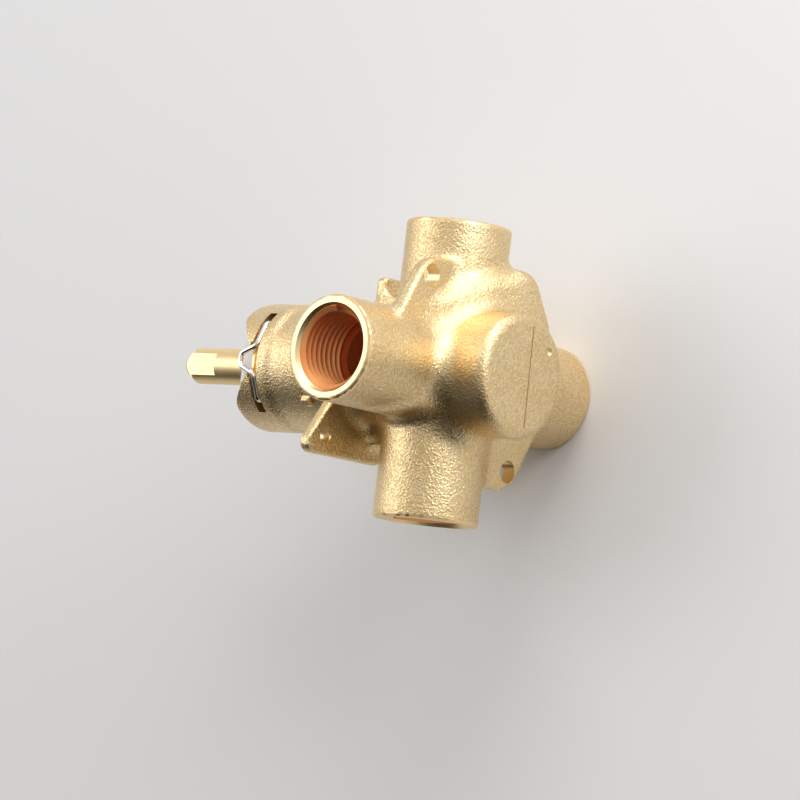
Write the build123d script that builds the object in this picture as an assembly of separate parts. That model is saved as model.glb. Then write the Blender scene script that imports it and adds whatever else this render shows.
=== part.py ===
from build123d import *
import os
from math import cos, radians, sin, sqrt, tan

# Pressure balance shower valve: a cast brass body with four pipe ports, and the mixing cartridge in its
# barrel. Millimetres. The origin is on the barrel axis, in the rear face of the mounting lugs. Z is up,
# towards the shower outlet. Minus Y is the front, where the stem comes out. Plus X is the cold inlet.

# Casting: ports
port_axis_setback = 9.3        # lug face to the plane of the four port axes
port_r = 13.5
outlet_reach = 43.8            # port crossing to the end of the shower and tub ports
inlet_reach = 38.4             # port crossing to the end of the hot and cold ports
thread_r = 10.5                # half inch pipe thread, at its roots
thread_depth = 15.5
mouth_chamfer = 0.9
port_rim_round = 0.8
passage_r = 7.6

# Casting: barrel and closed back cap
barrel_r = 16.8
barrel_length = 70.8           # lug face to the front lip
barrel_lip_round = 4.0
collar_length = 13.0           # front collar that holds the clip slot
collar_blend = 5.0
neck_r = 16.1
cap_r = 16.0
cap_wall = 5.5
cap_round = 2.5
cast_blend = 2.6

# Casting: small flat nub that the mould left on the barrel
nub_length = 2.8
nub_width = 2.2
nub_height = 1.1               # above the barrel's neck
nub_setback = 43.0             # lug face to the nub
nub_deg = 37.6                 # from the top of the barrel towards the cold side
nub_round = 0.3

# Casting: rear mounting lugs
lug_thickness = 3.8
lug_hole_r = 2.9
lug_hole_x = 22.4
lug_hole_z = 19.0
lug_side_margin = 5.1          # hole centre to the straight side
lug_slant_margin = 4.0         # hole centre to the slanted edge
lug_slant_deg = 27.0
lug_corner_r = 4.6
lug_edge_round = 0.9
lug_blend = 1.4

# Casting: front ears for the trim screws
ear_setback = 29.3             # lug face to the rear face of the ears
ear_thickness = 3.4
ear_hole_r = 2.05
ear_hole_x = 19.4
ear_hole_z = 19.2
ear_side_margin = 4.9
ear_slant_margin = 4.2
ear_slant_deg = 33.5
ear_root_half_width = 3.05     # web between the ear and the inlet port
ear_corner_r = 4.6
ear_root_corner_r = 1.5
ear_blend = 2.6

# Casting: shoulder beside the hot inlet, a tilted pad with well rounded edges
shoulder_height = 8.2          # lug face to the pad's face, at the level below
shoulder_height_z = -6.0
shoulder_fall_deg = 4.0        # the pad's face falls a little towards the shower port
shoulder_slope_z = 5.0         # from here on it slopes down to the shower port
shoulder_slope_deg = 30.0
shoulder_side_deg = 23.0       # long side, against the vertical
shoulder_side_distance = 23.3  # barrel axis to the long side
shoulder_end_deg = 31.0        # lower end, against the horizontal
shoulder_end_distance = 25.4   # barrel axis to the lower end
shoulder_top_z = 33.0          # the pad runs out on the shower port here
shoulder_foot_x = 13.0         # barrel axis to the lower end's inner corner
shoulder_corner_r = 6.0
shoulder_foot_r = 4.0
shoulder_edge_round = 3.0
shoulder_crest_r = 8.0         # between the pad's face and its slope

# Retainer clip and its seat in the barrel
clip_inset = 10.85             # barrel lip to the plane of the clip
clip_wire_r = 0.7
clip_leg_x = 10.1
clip_ride_r = 16.5             # how far the wire stands off the barrel axis on top
clip_bump_root_x = 3.7
clip_bump_x = 1.6
clip_bump_reach = 4.6
clip_bend_r = 1.6
clip_leg_below = 15.6
clip_clearance = 0.25
slot_width = 2.5
slot_floor_r = 14.0
slot_half_width = 13.0
notch_rim = 0.7                # thin wall between the slot and the notch in the lip
notch_rim_z = 14.9             # the wire passes over that wall
notch_half_width = 3.6         # floor of the notch
notch_side_deg = 38.5          # sides of the notch, against its floor
notch_corner_r = 1.5

# Cartridge shell
bore_front_r = 12.6
bore_rear_r = 12.0
bore_step_setback = 26.0       # lug face to the step of the barrel bore
shell_clearance = 0.15
shell_step_gap = 0.2           # bore step to the shoulder of the shell
shell_inset = 3.8              # barrel lip to the front face of the shell
shell_front_wall = 4.5
shell_rear_gap = 1.4           # rear of the shell to the end of the bore
shell_chamber_r = 8.4          # front chamber round the stem's stop lug
shell_chamber_length = 12.0
shell_bore_r = 9.6
boss_width = 11.2              # boss round the stem, in the lip notch
boss_height = 19.8
boss_inset = 0.6               # barrel lip to the face of the boss
boss_edge_round = 0.5
outlet_window_r = 5.2
seat_r = 2.6                   # orifice of each inlet
seat_offset = 3.5              # hot seat ahead of the port plane, cold seat behind it
seal_r = 4.6
seal_depth = 1.5
seal_gap = 0.05
inlet_well_x = 16.5            # barrel axis to the floor of the inlet wells

# Stem, rotor and spool
stem_r = 4.8
stem_reach = 26.2              # barrel lip to the tip of the stem
stem_tip_chamfer = 2.0         # across the stem
stem_tip_taper = 3.2           # along the stem
stem_tip_flat_length = 3.3
stem_tip_flat_distance = 3.3   # stem axis to each flat at the tip
stem_flat_length = 11.9        # tip to the end of the flats
stem_flat_distance = 3.85      # stem axis to each flat
stem_screw_r = 2.0
stem_screw_depth = 12.0
stem_shank_r = 6.0
stem_running_gap = 0.1
washer_thickness = 0.8
stop_lug_deg = 40.0
stop_lug_height = 2.1
stop_lug_length = 3.0
stop_rib_gap = 0.3
stem_travel_deg = 270.0
stop_slack_deg = 2.0
tang_width = 8.0
tang_thickness = 4.0
tang_depth = 2.6               # how far the tang reaches into the rotor
tang_gap = 0.1
rotor_gap = 0.3
rotor_front_wall = 3.8
rotor_shank_gap = 0.4          # stem shank to the front of the rotor
rotor_window_r = 2.4
spool_r = 6.4
spool_length = 23.6
spool_stroke = 2.5
spool_gap = 0.1
spool_neck_r = 4.4
spool_neck_length = 4.8
spool_drill_r = 2.0
spool_drill_depth = 5.5
spool_plug_length = 2.8
plug_gap = 0.05
end_cap_length = 2.8
end_cap_gap = 0.3

# Seals
shell_front_ring_r = 0.9       # cord radius of each ring
shell_rear_ring_r = 0.75
stem_ring_r = 0.65
rotor_ring_r = 0.7
end_cap_ring_r = 0.7
ring_gap = 0.05
stem_ring_pitch = 3.6

# Places along the barrel axis
port_y = -port_axis_setback
lip_y = -barrel_length
clip_y = lip_y + clip_inset
bore_step_y = -bore_step_setback
shell_face_y = lip_y + shell_inset
boss_face_y = lip_y + boss_inset
stem_tip_y = lip_y - stem_reach
chamber_y = shell_face_y + shell_front_wall
chamber_end_y = chamber_y + shell_chamber_length
washer_y = chamber_y + stem_running_gap
shank_y = washer_y + washer_thickness + stem_running_gap
stop_end_y = shank_y + stop_lug_length
spool_front_y = port_y - spool_length / 2
spool_rear_y = port_y + spool_length / 2
rotor_chamber_front_y = spool_front_y - spool_stroke - spool_gap
rotor_chamber_rear_y = spool_rear_y + spool_stroke + spool_gap
rotor_front_y = rotor_chamber_front_y - rotor_front_wall
rotor_rear_y = rotor_chamber_rear_y + spool_plug_length
shank_end_y = rotor_front_y - rotor_shank_gap
end_cap_y = rotor_rear_y + end_cap_gap
shell_end_y = end_cap_y + end_cap_length
bore_end_y = shell_end_y + shell_rear_gap
cap_height = bore_end_y + cap_wall
hot_seat_y = port_y - seat_offset
cold_seat_y = port_y + seat_offset
shell_front_ring_y = chamber_end_y + 3 * shell_front_ring_r
shell_rear_ring_y = cold_seat_y + seal_r + 3 * shell_rear_ring_r
stem_rear_ring_y = chamber_y - shell_front_wall / 2
stem_front_ring_y = stem_rear_ring_y - stem_ring_pitch
rotor_front_ring_y = rotor_front_y + rotor_front_wall / 2
rotor_rear_ring_y = rotor_rear_y - spool_plug_length / 2
end_cap_ring_y = end_cap_y + end_cap_length / 2

# Radii and angles that follow from the fits
shell_front_r = bore_front_r - shell_clearance
shell_rear_r = bore_rear_r - shell_clearance
stem_hole_r = stem_r + stem_running_gap
rotor_r = shell_bore_r - rotor_gap
rotor_bore_r = spool_r + spool_gap
stop_lug_r = stem_shank_r + stop_lug_height
stop_rib_start_deg = stem_travel_deg + stop_lug_deg + stop_slack_deg
stop_rib_deg = 360 - stop_rib_start_deg - stop_slack_deg
clip_hole_r = clip_wire_r + clip_clearance
through = 4 * barrel_r         # long enough to cut right through the casting

# Directions of the ports, and how far each reaches
UP, DOWN = Vector(0, 0, 1), Vector(0, 0, -1)
COLD, HOT = Vector(1, 0, 0), Vector(-1, 0, 0)
PORTS = ((UP, outlet_reach), (DOWN, outlet_reach), (COLD, inlet_reach), (HOT, inlet_reach))
INLETS = (COLD, HOT)
SEATS = ((HOT, hot_seat_y), (COLD, cold_seat_y))
PORT_CENTRE = Vector(0, port_y, 0)


def rod(radius, y_from, y_to):
    """Round bar on the barrel axis."""
    face = Plane((0, y_from, 0), x_dir=(1, 0, 0), z_dir=(0, 1, 0)) * Circle(radius)
    return extrude(face, y_to - y_from)


def tube(outer_r, inner_r, y_from, y_to):
    """Round tube on the barrel axis."""
    return rod(outer_r, y_from, y_to) - rod(inner_r, y_from, y_to)


def branch(direction, radius, start, end, y=port_y):
    """Round bar square to the barrel axis, from one distance to another along a port's direction."""
    face = Plane(Vector(0, y, 0) + direction * start, z_dir=direction) * Circle(radius)
    return extrude(face, end - start)


def block(x_from, x_to, y_from, y_to, z_from, z_to):
    """Box between two corners."""
    size = (x_to - x_from, y_to - y_from, z_to - z_from)
    return Pos(x_from, y_from, z_from) * Box(*size, align=(Align.MIN, Align.MIN, Align.MIN))


def cross_plate(outline, y_from, thickness):
    """Plate square to the barrel axis, from a sketch drawn with X to the right and Z up."""
    return extrude(Plane((0, y_from, 0), x_dir=(1, 0, 0), z_dir=(0, -1, 0)) * outline, -thickness)


def half_turned(shape):
    """The same piece on the opposite side of the barrel."""
    return shape.rotate(Axis.Y, 180)


def ring_groove(y, outer_r, cord_r):
    """What a ring of round cord needs cut out of the piece that carries it."""
    floor_r = outer_r - 2 * cord_r - ring_gap
    return tube(outer_r + cord_r, floor_r, y - cord_r - ring_gap, y + cord_r + ring_gap)


def o_ring(y, outer_r, cord_r):
    """Ring of round cord on the barrel axis, just clear of the wall around it."""
    section = Pos(outer_r - ring_gap - cord_r, y) * Circle(cord_r)
    return revolve(section, Axis.Y, 360)


def sector(inner_r, outer_r, y_from, y_to, start_deg, width_deg):
    """Part of a tube, counted from the top and turning the way the stem opens."""
    reach = 2 * outer_r
    steps = 6
    turns = [radians(start_deg + width_deg * step / steps) for step in range(steps + 1)]
    corners = [(-reach * sin(turn), reach * cos(turn)) for turn in turns]
    wedge = cross_plate(make_face(Polyline((0, 0), *corners, close=True)), y_from, y_to - y_from)
    return tube(outer_r, inner_r, y_from, y_to) & wedge


def crossing(normal_a, distance_a, normal_b, distance_b):
    """Point where two lines cross, each given by its normal and its distance from the barrel axis."""
    cross = normal_a.X * normal_b.Y - normal_a.Y * normal_b.X
    x = (distance_a * normal_b.Y - distance_b * normal_a.Y) / cross
    z = (distance_b * normal_a.X - distance_a * normal_b.X) / cross
    return (x, z)


def rounded(outline, point, radius):
    """Outline with the corner nearest to a point rounded off."""
    return fillet(outline.vertices().sort_by_distance(point)[0], radius)


def barrel_form():
    """Barrel with its front collar, drafted neck and rounded back cap, all solid."""
    front = Line((0, lip_y), (barrel_r - barrel_lip_round, lip_y))
    lip = JernArc(front @ 1, (1, 0), barrel_lip_round, 90)
    collar = Line(lip @ 1, (barrel_r, lip_y + collar_length))
    neck_y = lip_y + collar_length + collar_blend
    cap_edge_y = cap_height - cap_round
    draft = Vector(cap_r - neck_r, cap_edge_y - neck_y)
    waist = Spline(collar @ 1, (neck_r, neck_y), tangents=((0, 1), draft.normalized()))
    neck = Line(waist @ 1, (cap_r, cap_edge_y))
    cap = JernArc(neck @ 1, (0, 1), cap_round, 90)
    back = Polyline(cap @ 1, (0, cap_height), (0, lip_y))
    return revolve(make_face([front, lip, collar, waist, neck, cap, back]), Axis.Y, 360)


def port_form(direction, reach):
    """Port from the barrel axis to its rounded rim, solid."""
    bar = branch(direction, port_r, 0, reach)
    rim = bar.edges().filter_by(GeomType.CIRCLE).sort_by_distance(PORT_CENTRE + direction * reach)[0]
    return fillet(rim, port_rim_round)


def shoulder_form():
    """Pad beside the hot inlet: straight sides, round corners, a face that falls to the shower port."""
    side = Vector(-cos(radians(shoulder_side_deg)), sin(radians(shoulder_side_deg)))
    end = Vector(-sin(radians(shoulder_end_deg)), -cos(radians(shoulder_end_deg)))
    top = crossing(side, shoulder_side_distance, Vector(0, 1), shoulder_top_z)
    corner = crossing(side, shoulder_side_distance, end, shoulder_end_distance)
    foot = crossing(end, shoulder_end_distance, Vector(-1, 0), shoulder_foot_x)
    outline = make_face(Polyline((0, shoulder_top_z), top, corner, foot, (0, 0), close=True))
    outline = rounded(outline, corner, shoulder_corner_r)
    outline = rounded(outline, foot, shoulder_foot_r)
    pad = cross_plate(outline, -through, 2 * through)
    slope_y = shoulder_height - (shoulder_slope_z - shoulder_height_z) * tan(radians(shoulder_fall_deg))
    for y, z, fall_deg in ((shoulder_height, shoulder_height_z, shoulder_fall_deg),
                           (slope_y, shoulder_slope_z, shoulder_slope_deg)):
        fall = radians(fall_deg)
        face = Plane((0, y, z), x_dir=(1, 0, 0), z_dir=(0, cos(fall), sin(fall)))
        pad = split(pad, face, keep=Keep.BOTTOM)
    crest = pad.edges().filter_by(Axis.X).sort_by_distance((0, slope_y, shoulder_slope_z))[0]
    pad = fillet(crest, shoulder_crest_r)
    inner_x = max(point[0] for point in (top, foot)) / 2
    sides = [face for face in pad.faces() if abs(face.normal_at().Y) < 0.1 and face.center().X < inner_x]
    tops = [face for face in pad.faces() if face.normal_at().Y > 0.5]
    rim = [edge for edge in ShapeList(sides).edges() if edge in ShapeList(tops).edges()
           and edge.center().Z < shoulder_top_z - 1]
    pad = fillet(rim, shoulder_edge_round)
    return split(pad, Plane.ZX.offset(-lug_thickness), keep=Keep.TOP)


def slanted_plate(side_x, low_z, hole_x, hole_z, slant_margin, slant_deg, corner_r):
    """Outline of a lug or ear: a straight side, a round corner and a slanted edge past the hole."""
    slant = Vector(cos(radians(slant_deg)), sin(radians(slant_deg)))
    normal = Vector(-slant.Y, slant.X)
    past_hole = Vector(hole_x, hole_z) + normal * slant_margin
    corner_z = past_hole.Y + (side_x - past_hole.X) * slant.Y / slant.X
    axis_z = past_hole.Y - past_hole.X * slant.Y / slant.X
    outline = make_face(Polyline((0, low_z), (side_x, low_z), (side_x, corner_z), (0, axis_z), close=True))
    return rounded(outline, (side_x, corner_z), corner_r)


def rear_lug():
    """Mounting lug on the shower and hot side, without its hole."""
    side_x = lug_hole_x + lug_side_margin
    outline = slanted_plate(side_x, 0, lug_hole_x, lug_hole_z, lug_slant_margin, -lug_slant_deg, lug_corner_r)
    plate = mirror(cross_plate(outline, -lug_thickness, lug_thickness), Plane.YZ)
    rims = [edge for edge in plate.edges() if abs(edge.center().X) > 1 and edge.center().Z > 1
            and edge.length > lug_thickness * 1.2]
    return fillet(rims, lug_edge_round)


def front_ear():
    """Ear for a trim screw on the shower and cold side, with its web to the inlet port, without its hole."""
    side_x = ear_hole_x + ear_side_margin
    low_z = -ear_root_half_width
    outline = slanted_plate(side_x, low_z, ear_hole_x, ear_hole_z, ear_slant_margin, ear_slant_deg,
                            ear_corner_r)
    outline = rounded(outline, (side_x, low_z), ear_root_corner_r)
    plate = cross_plate(outline, -ear_setback - ear_thickness, ear_thickness)
    web = block(0, ear_hole_x, -ear_setback, port_y, low_z, -low_z)
    return plate + web


def nub():
    """Small flat nub on the barrel's side."""
    half_x, half_y = nub_width / 2, nub_length / 2
    nub_top = neck_r + nub_height
    post = block(-half_x, half_x, -nub_setback - half_y, -nub_setback + half_y, bore_front_r, nub_top)
    post = fillet(post.edges().filter_by(Axis.Z) + post.faces().sort_by(Axis.Z)[-1].edges(), nub_round)
    return post.rotate(Axis.Y, nub_deg)


def casting():
    """Casting as it leaves the mould, solid, with its blends."""
    barrel = barrel_form()
    ports = [port_form(way, reach) for way, reach in PORTS]
    cross = ports[0] + ports[1:]
    body = barrel + cross
    roots = list(new_edges(barrel, cross, combined=body)) + list(body.edges().filter_by(GeomType.ELLIPSE))
    body = fillet(roots, cast_blend)
    lugs = [(lug, lug_blend) for lug in (rear_lug(), half_turned(rear_lug()))]
    ears = [(ear, ear_blend) for ear in (front_ear(), half_turned(front_ear()))]
    for plate, blend in lugs + ears:
        joined = body + plate
        body = fillet(new_edges(body, plate, combined=joined), blend)
    return body + shoulder_form() + nub()


def port_cut(direction, reach):
    """Threaded bore of a port with its chamfered mouth."""
    mouth = Plane(PORT_CENTRE + direction * (reach - mouth_chamfer), z_dir=direction)
    standing = (Align.CENTER, Align.CENTER, Align.MIN)
    cone = Cone(thread_r, thread_r + mouth_chamfer, mouth_chamfer, align=standing)
    return branch(direction, thread_r, reach - thread_depth, reach) + mouth * cone


def bridge_point(x, ahead):
    """Point of the clip's wire where it rides over the barrel."""
    return (x, clip_y - ahead, sqrt(clip_ride_r ** 2 - x ** 2))


def clip_cut():
    """Groove over the barrel, notch in its lip and holes for the legs of the clip."""
    half_slot = slot_width / 2
    slot_front_y = clip_y - half_slot
    notch_y = slot_front_y - notch_rim
    slot = block(-slot_half_width, slot_half_width, slot_front_y, clip_y + half_slot, 0, through)
    slot -= rod(slot_floor_r, slot_front_y, clip_y + half_slot)
    pass_x = clip_bump_root_x + clip_hole_r
    rim_pass = block(-pass_x, pass_x, notch_y, clip_y, notch_rim_z, through)
    spread_y = notch_y - lip_y
    spread = notch_half_width + spread_y / tan(radians(notch_side_deg))
    floor = [(-notch_half_width, notch_y), (notch_half_width, notch_y)]
    outline = make_face(Polyline((-spread, lip_y), *floor, (spread, lip_y), close=True))
    for corner in floor:
        outline = rounded(outline, corner, notch_corner_r)
    cut = slot + rim_pass + extrude(outline, through)
    for leg_x in (-clip_leg_x, clip_leg_x):
        foot = Plane((leg_x, clip_y, -through), z_dir=(0, 0, 1))
        cut += extrude(foot * Circle(clip_hole_r), through + bridge_point(clip_leg_x, 0)[2])
    return cut


def screw_hole(x, z, radius):
    """Hole along the barrel axis, right through a lug or an ear."""
    return Pos(x, 0, z) * rod(radius, -through, through)


def valve_body():
    """Brass casting, machined: ports, barrel bore, inlet seats, clip slot and screw holes."""
    body = casting()
    body -= rod(bore_front_r, lip_y, bore_step_y) + rod(bore_rear_r, bore_step_y, bore_end_y)
    for way, reach in PORTS:
        floor = inlet_well_x if way in INLETS else 0
        body -= port_cut(way, reach)
        body -= branch(way, passage_r, floor, reach - thread_depth)
    for way, seat_y in SEATS:
        body -= branch(way, seat_r, 0, inlet_well_x, seat_y)
    body -= clip_cut()
    lug_zone = block(-through, through, -2 * lug_thickness, through, -through, through)
    for x, z in ((-lug_hole_x, lug_hole_z), (lug_hole_x, -lug_hole_z)):
        body -= screw_hole(x, z, lug_hole_r) & lug_zone
    for x, z in ((ear_hole_x, ear_hole_z), (-ear_hole_x, -ear_hole_z)):
        body -= screw_hole(x, z, ear_hole_r)
    return body


def retainer_clip():
    """Bent wire: two legs beside the shell, a bridge over the barrel and a bump to pull it out by."""
    half = [
        (clip_leg_x, clip_y, -clip_leg_below),
        bridge_point(clip_leg_x, 0),
        bridge_point(clip_bump_root_x, 0),
        bridge_point(clip_bump_x, clip_bump_reach),
    ]
    other = [(-x, y, z) for x, y, z in reversed(half)]
    path = FilletPolyline(*half, *other, radius=clip_bend_r)
    section = Plane(half[0], z_dir=(0, 0, 1)) * Circle(clip_wire_r)
    return sweep(section, path=path)


def cartridge_shell():
    """Moulded shell: front boss, chamber for the stem's stop, rotor bore, windows and grooves."""
    shoulder_y = bore_step_y - shell_step_gap
    half_width, half_height = boss_width / 2, boss_height / 2
    boss = block(-half_width, half_width, boss_face_y, chamber_y, -half_height, half_height)
    front = boss.faces().sort_by(Axis.Y)[0]
    boss = fillet(boss.edges().filter_by(Axis.Y) + front.edges(), boss_edge_round)
    shell = rod(shell_front_r, shell_face_y, shoulder_y) + rod(shell_rear_r, shoulder_y, shell_end_y) + boss
    shell -= rod(stem_hole_r, boss_face_y, chamber_y)
    shell -= rod(shell_chamber_r, chamber_y, chamber_end_y)
    shell -= rod(shell_bore_r, chamber_end_y, shell_end_y)
    rib_root_r = (shell_chamber_r + shell_front_r) / 2
    shell += sector(stem_shank_r + stop_rib_gap, rib_root_r, chamber_y, stop_end_y,
                    stop_rib_start_deg, stop_rib_deg)
    for way in (UP, DOWN):
        shell -= branch(way, outlet_window_r, 0, through)
    for way, seat_y in SEATS:
        shell -= branch(way, seat_r, 0, through, seat_y)
        shell -= branch(way, seal_r, shell_rear_r - seal_depth, through, seat_y)
    groove_x = clip_leg_x - clip_hole_r
    for x_from, x_to in ((groove_x, through), (-through, -groove_x)):
        shell -= block(x_from, x_to, clip_y - clip_hole_r, clip_y + clip_hole_r, -through, through)
    shell -= ring_groove(shell_front_ring_y, bore_front_r, shell_front_ring_r)
    shell -= ring_groove(shell_rear_ring_y, bore_rear_r, shell_rear_ring_r)
    return shell


def inlet_seal(direction, seat_y):
    """Rubber seal in the shell's recess, with its outer face on the barrel bore."""
    floor = shell_rear_r - seal_depth + seal_gap
    seal = branch(direction, seal_r - seal_gap, floor, through, seat_y)
    seal -= branch(direction, seat_r, 0, through, seat_y)
    return seal & rod(bore_rear_r - seal_gap, -through, through)


def stem():
    """Brass stem: chamfered tip with two flats, shank with the stop lug and a tang for the rotor."""
    tip = rod(stem_r, stem_tip_y, shank_y)
    tip_edge = tip.edges().filter_by(GeomType.CIRCLE).sort_by(Axis.Y)[0]
    tip_face = tip.faces().sort_by(Axis.Y)[0]
    tip = chamfer(tip_edge, stem_tip_chamfer, stem_tip_taper, reference=tip_face)
    for distance, length in ((stem_flat_distance, stem_flat_length),
                             (stem_tip_flat_distance, stem_tip_flat_length)):
        flat = block(-through, through, stem_tip_y, stem_tip_y + length, distance, through)
        tip -= flat + half_turned(flat)
    tip -= rod(stem_screw_r, stem_tip_y, stem_tip_y + stem_screw_depth)
    for ring_y in (stem_front_ring_y, stem_rear_ring_y):
        tip -= ring_groove(ring_y, stem_hole_r, stem_ring_r)
    tang_x, tang_z = tang_width / 2, tang_thickness / 2
    tang = block(-tang_x, tang_x, shank_end_y, rotor_front_y + tang_depth, -tang_z, tang_z)
    lug = sector(stem_shank_r / 2, stop_lug_r, shank_y, stop_end_y, 0, stop_lug_deg)
    return tip + rod(stem_shank_r, shank_y, shank_end_y) + lug + tang


def rotor_sleeve():
    """Sleeve that the stem turns, in the off position: windows, spool bore and ring grooves."""
    sleeve = rod(rotor_r, rotor_front_y, rotor_rear_y)
    sleeve -= rod(rotor_bore_r, rotor_chamber_front_y, rotor_rear_y)
    slot_x, slot_z = tang_width / 2 + tang_gap, tang_thickness / 2 + tang_gap
    sleeve -= block(-slot_x, slot_x, rotor_front_y, rotor_front_y + tang_depth + tang_gap, -slot_z, slot_z)
    windows = [branch(way, rotor_window_r, 0, through, seat_y) for way, seat_y in SEATS]
    windows += [branch(way, rotor_window_r, 0, through) for way in (UP, DOWN)]
    for window in windows:
        sleeve -= window.rotate(Axis.Y, stem_travel_deg / 2)
    sleeve -= ring_groove(rotor_front_ring_y, shell_bore_r, rotor_ring_r)
    sleeve -= ring_groove(rotor_rear_ring_y, shell_bore_r, rotor_ring_r)
    return sleeve


def balance_spool():
    """Spool with a neck at each inlet and a drilled face at each end."""
    spool = rod(spool_r, spool_front_y, spool_rear_y)
    half_neck = spool_neck_length / 2
    for _, seat_y in SEATS:
        spool -= tube(spool_r + spool_gap, spool_neck_r, seat_y - half_neck, seat_y + half_neck)
    spool -= rod(spool_drill_r, spool_front_y, spool_front_y + spool_drill_depth)
    spool -= rod(spool_drill_r, spool_rear_y - spool_drill_depth, spool_rear_y)
    return spool


def shell_end_cap():
    """Disc that closes the rear of the shell, with its ring groove."""
    disc = rod(shell_bore_r - plug_gap, end_cap_y, shell_end_y)
    return disc - ring_groove(end_cap_ring_y, shell_bore_r, end_cap_ring_r)


def export(name, solid):
    """Write one piece to its own file."""
    export_step(solid, f"parts/{name}.step")


os.makedirs("parts", exist_ok=True)
export("valve_body", valve_body())
export("retainer_clip", retainer_clip())
export("cartridge_shell", cartridge_shell())
export("shell_front_o_ring", o_ring(shell_front_ring_y, bore_front_r, shell_front_ring_r))
export("shell_rear_o_ring", o_ring(shell_rear_ring_y, bore_rear_r, shell_rear_ring_r))
export("hot_inlet_seal", inlet_seal(HOT, hot_seat_y))
export("cold_inlet_seal", inlet_seal(COLD, cold_seat_y))
export("shell_end_cap", shell_end_cap())
export("end_cap_o_ring", o_ring(end_cap_ring_y, shell_bore_r, end_cap_ring_r))
export("stem", stem())
export("thrust_washer", tube(stem_shank_r, stem_hole_r, washer_y, washer_y + washer_thickness))
export("stem_front_o_ring", o_ring(stem_front_ring_y, stem_hole_r, stem_ring_r))
export("stem_rear_o_ring", o_ring(stem_rear_ring_y, stem_hole_r, stem_ring_r))
export("rotor_sleeve", rotor_sleeve())
export("rotor_front_o_ring", o_ring(rotor_front_ring_y, shell_bore_r, rotor_ring_r))
export("rotor_rear_o_ring", o_ring(rotor_rear_ring_y, shell_bore_r, rotor_ring_r))
export("balance_spool", balance_spool())
export("spool_plug", rod(rotor_bore_r - plug_gap, rotor_chamber_rear_y, rotor_rear_y))
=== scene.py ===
"""Dresses the pressure balance shower valve: casting, threads, cartridge, clip and stem, with its stage."""
import logging
import math
from collections.abc import Sequence
from dataclasses import dataclass, field
from enum import Enum

import bmesh
import bpy
import numpy as np
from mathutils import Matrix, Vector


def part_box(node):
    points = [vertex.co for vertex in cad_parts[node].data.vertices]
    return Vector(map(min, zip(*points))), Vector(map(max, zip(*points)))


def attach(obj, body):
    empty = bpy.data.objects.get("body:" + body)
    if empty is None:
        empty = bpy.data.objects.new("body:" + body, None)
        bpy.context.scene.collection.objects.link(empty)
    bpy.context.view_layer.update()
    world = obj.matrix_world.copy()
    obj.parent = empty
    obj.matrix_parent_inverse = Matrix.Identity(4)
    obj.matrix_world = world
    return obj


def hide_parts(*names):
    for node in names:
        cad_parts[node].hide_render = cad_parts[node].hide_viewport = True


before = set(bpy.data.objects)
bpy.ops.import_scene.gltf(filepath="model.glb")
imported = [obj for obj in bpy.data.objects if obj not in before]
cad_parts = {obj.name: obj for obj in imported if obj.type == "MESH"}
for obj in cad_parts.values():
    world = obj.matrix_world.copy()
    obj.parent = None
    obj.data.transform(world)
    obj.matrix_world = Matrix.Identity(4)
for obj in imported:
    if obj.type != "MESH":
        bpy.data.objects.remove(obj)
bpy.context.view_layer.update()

import openvdb
from mathutils import Matrix, Vector

MM = 0.001
SHARP_DEG = 32.0
log = logging.getLogger("shower_valve")


class Body(Enum):
    """Bodies of the frame that pieces ride on."""

    VALVE = "valve"


class PortWay(Enum):
    """Directions of the four ports."""

    SHOWER = (0.0, 0.0, 1.0)
    TUB = (0.0, 0.0, -1.0)
    HOT = (-1.0, 0.0, 0.0)
    COLD = (1.0, 0.0, 0.0)

    @property
    def vector(self) -> Vector:
        """The direction as a vector."""
        return Vector(self.value)

    @property
    def is_inlet(self) -> bool:
        """True for the hot and cold ports."""
        return self in (PortWay.HOT, PortWay.COLD)


# Node trees


class NodeSheet:
    """Adds nodes to one tree and wires them as they are added."""

    def __init__(self, tree: bpy.types.NodeTree) -> None:
        """Start on an empty tree.

        Args:
            tree: The shader or geometry tree to fill.
        """
        self.tree = tree
        tree.nodes.clear()

    def add(self, kind: str, inputs: dict | None = None, **settings) -> bpy.types.Node:
        """Add one node.

        Args:
            kind: The node's type name.
            inputs: Socket name or number to a constant, or to a socket that is linked to it.
            settings: Properties of the node itself.

        Returns:
            The new node.
        """
        node = self.tree.nodes.new(kind)
        node.location = (220 * len(self.tree.nodes), 0)
        for name, value in settings.items():
            setattr(node, name, value)
        for key, value in (inputs or {}).items():
            if isinstance(value, bpy.types.NodeSocket):
                self.tree.links.new(value, node.inputs[key])
            else:
                node.inputs[key].default_value = value
        return node

    def math(self, operation: str, a: object, b: object = 0.0) -> bpy.types.NodeSocket:
        """Add a shader or geometry math node and return its result."""
        return self.add("ShaderNodeMath", {0: a, 1: b}, operation=operation).outputs[0]


def new_group(name: str, kind: str, sockets: Sequence[tuple[str, str, str]]) -> bpy.types.NodeTree:
    """Make an empty node group with named sockets.

    Args:
        name: Name of the group.
        kind: Tree type, for shaders or for geometry.
        sockets: Name, direction and socket type of each.

    Returns:
        The new tree.
    """
    tree = bpy.data.node_groups.new(name, kind)
    for label, way, socket_type in sockets:
        tree.interface.new_socket(label, in_out=way, socket_type=socket_type)
    return tree


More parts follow.
